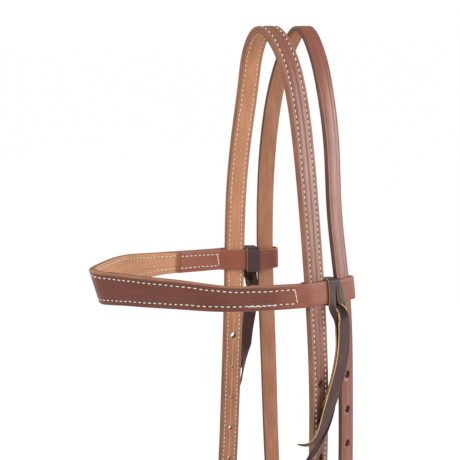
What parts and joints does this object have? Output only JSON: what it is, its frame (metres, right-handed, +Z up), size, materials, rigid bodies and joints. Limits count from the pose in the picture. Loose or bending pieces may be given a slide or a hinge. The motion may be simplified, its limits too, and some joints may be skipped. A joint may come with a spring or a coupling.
{
  "type": "western headstall",
  "caption": "Western bridle headstall: doubled crown strap over the poll, buckled cheek straps, single throatlatch, and a lined browband folded round both straps and tied with thongs.",
  "frame": {"origin": "underside of the crown strap at the poll, where the headstall hangs", "axes": "+X towards the horse's left (near) side, -Y towards its forehead, +Z up"},
  "size_m": [0.1716, 0.2227, 0.5957],
  "materials": {
    "bridle_leather": "smooth oiled, reddish brown",
    "flesh_leather": "flesh side, tan",
    "browband_leather": "smooth oiled, dark reddish brown",
    "lining_leather": "golden tan lining",
    "latigo_leather": "latigo, dark brown with pale edges",
    "stainless_steel": "satin"
  },
  "bodies": {
    "headstall": {"crown_outer_ply": "bridle_leather", "crown_lining_ply": "flesh_leather", "throatlatch_strap": "bridle_leather", "browband_outer_ply": "browband_leather", "browband_lining": "lining_leather", "near_tie_wrap": "latigo_leather", "near_tie_knot": "latigo_leather", "off_tie_wrap": "latigo_leather", "off_tie_knot": "latigo_leather", "near_cheek_strap": "bridle_leather", "near_cheek_fixed_keeper": "bridle_leather", "near_bit_screw_post": "stainless_steel", "near_bit_screw_cap": "stainless_steel", "off_cheek_strap": "bridle_leather", "off_cheek_fixed_keeper": "bridle_leather", "off_bit_screw_post": "stainless_steel", "off_bit_screw_cap": "stainless_steel", "throatlatch_fixed_keeper": "bridle_leather"},
    "near_tie_ends": {"near_tie_front_tail": "latigo_leather", "near_tie_back_tail": "latigo_leather"},
    "off_tie_ends": {"off_tie_front_tail": "latigo_leather", "off_tie_back_tail": "latigo_leather"},
    "near_cheek_frame": {"near_cheek_buckle": "stainless_steel"},
    "near_cheek_prong": {"near_cheek_tongue": "stainless_steel"},
    "near_cheek_slide": {"near_cheek_sliding_keeper": "bridle_leather"},
    "off_cheek_frame": {"off_cheek_buckle": "stainless_steel"},
    "off_cheek_prong": {"off_cheek_tongue": "stainless_steel"},
    "off_cheek_slide": {"off_cheek_sliding_keeper": "bridle_leather"},
    "throatlatch_frame": {"throatlatch_buckle": "stainless_steel"},
    "throatlatch_prong": {"throatlatch_tongue": "stainless_steel"},
    "throatlatch_slide": {"throatlatch_sliding_keeper": "bridle_leather"}
  },
  "joints": [
    {"name": "near_tie_swing", "type": "hinge", "parent": "headstall", "child": "near_tie_ends", "pos_m": [0.0721, 0.02532, -0.24048], "axis": [0.0923, -0.9859, 0.1398], "range_deg": [0, 60]},
    {"name": "off_tie_swing", "type": "hinge", "parent": "headstall", "child": "off_tie_ends", "pos_m": [-0.0721, 0.02532, -0.24048], "axis": [0.0923, 0.9859, -0.1398], "range_deg": [0, 60]},
    {"name": "near_cheek_buckle_lift", "type": "hinge", "parent": "headstall", "child": "near_cheek_frame", "pos_m": [0.06886, -0.00577, -0.4677], "axis": [-0.1642, 0.9845, -0.062], "range_deg": [0, 2]},
    {"name": "near_cheek_tongue_lift", "type": "hinge", "parent": "near_cheek_frame", "child": "near_cheek_prong", "pos_m": [0.06886, -0.00577, -0.4677], "axis": [-0.1642, 0.9845, -0.062], "range_deg": [0, 3]},
    {"name": "near_cheek_keeper_slide", "type": "slide", "parent": "headstall", "child": "near_cheek_slide", "axis": [-0.018, 0.0599, 0.998], "range_m": [-0.01, 0.008]},
    {"name": "off_cheek_buckle_lift", "type": "hinge", "parent": "headstall", "child": "off_cheek_frame", "pos_m": [-0.06886, -0.00577, -0.4677], "axis": [-0.1642, -0.9845, 0.062], "range_deg": [0, 2]},
    {"name": "off_cheek_tongue_lift", "type": "hinge", "parent": "off_cheek_frame", "child": "off_cheek_prong", "pos_m": [-0.06886, -0.00577, -0.4677], "axis": [-0.1642, -0.9845, 0.062], "range_deg": [0, 3]},
    {"name": "off_cheek_keeper_slide", "type": "slide", "parent": "headstall", "child": "off_cheek_slide", "axis": [0.018, 0.0599, 0.998], "range_m": [-0.01, 0.008]},
    {"name": "throatlatch_buckle_lift", "type": "hinge", "parent": "headstall", "child": "throatlatch_frame", "pos_m": [0.05216, 0.04149, -0.43641], "axis": [-0.1087, 0.9938, 0.0248], "range_deg": [0, 2]},
    {"name": "throatlatch_tongue_lift", "type": "hinge", "parent": "throatlatch_frame", "child": "throatlatch_prong", "pos_m": [0.05216, 0.04149, -0.43641], "axis": [-0.1087, 0.9938, 0.0248], "range_deg": [0, 3]},
    {"name": "throatlatch_keeper_slide", "type": "slide", "parent": "headstall", "child": "throatlatch_slide", "axis": [0.0449, -0.02, 0.9988], "range_m": [-0.008, 0.008]}
  ]
}
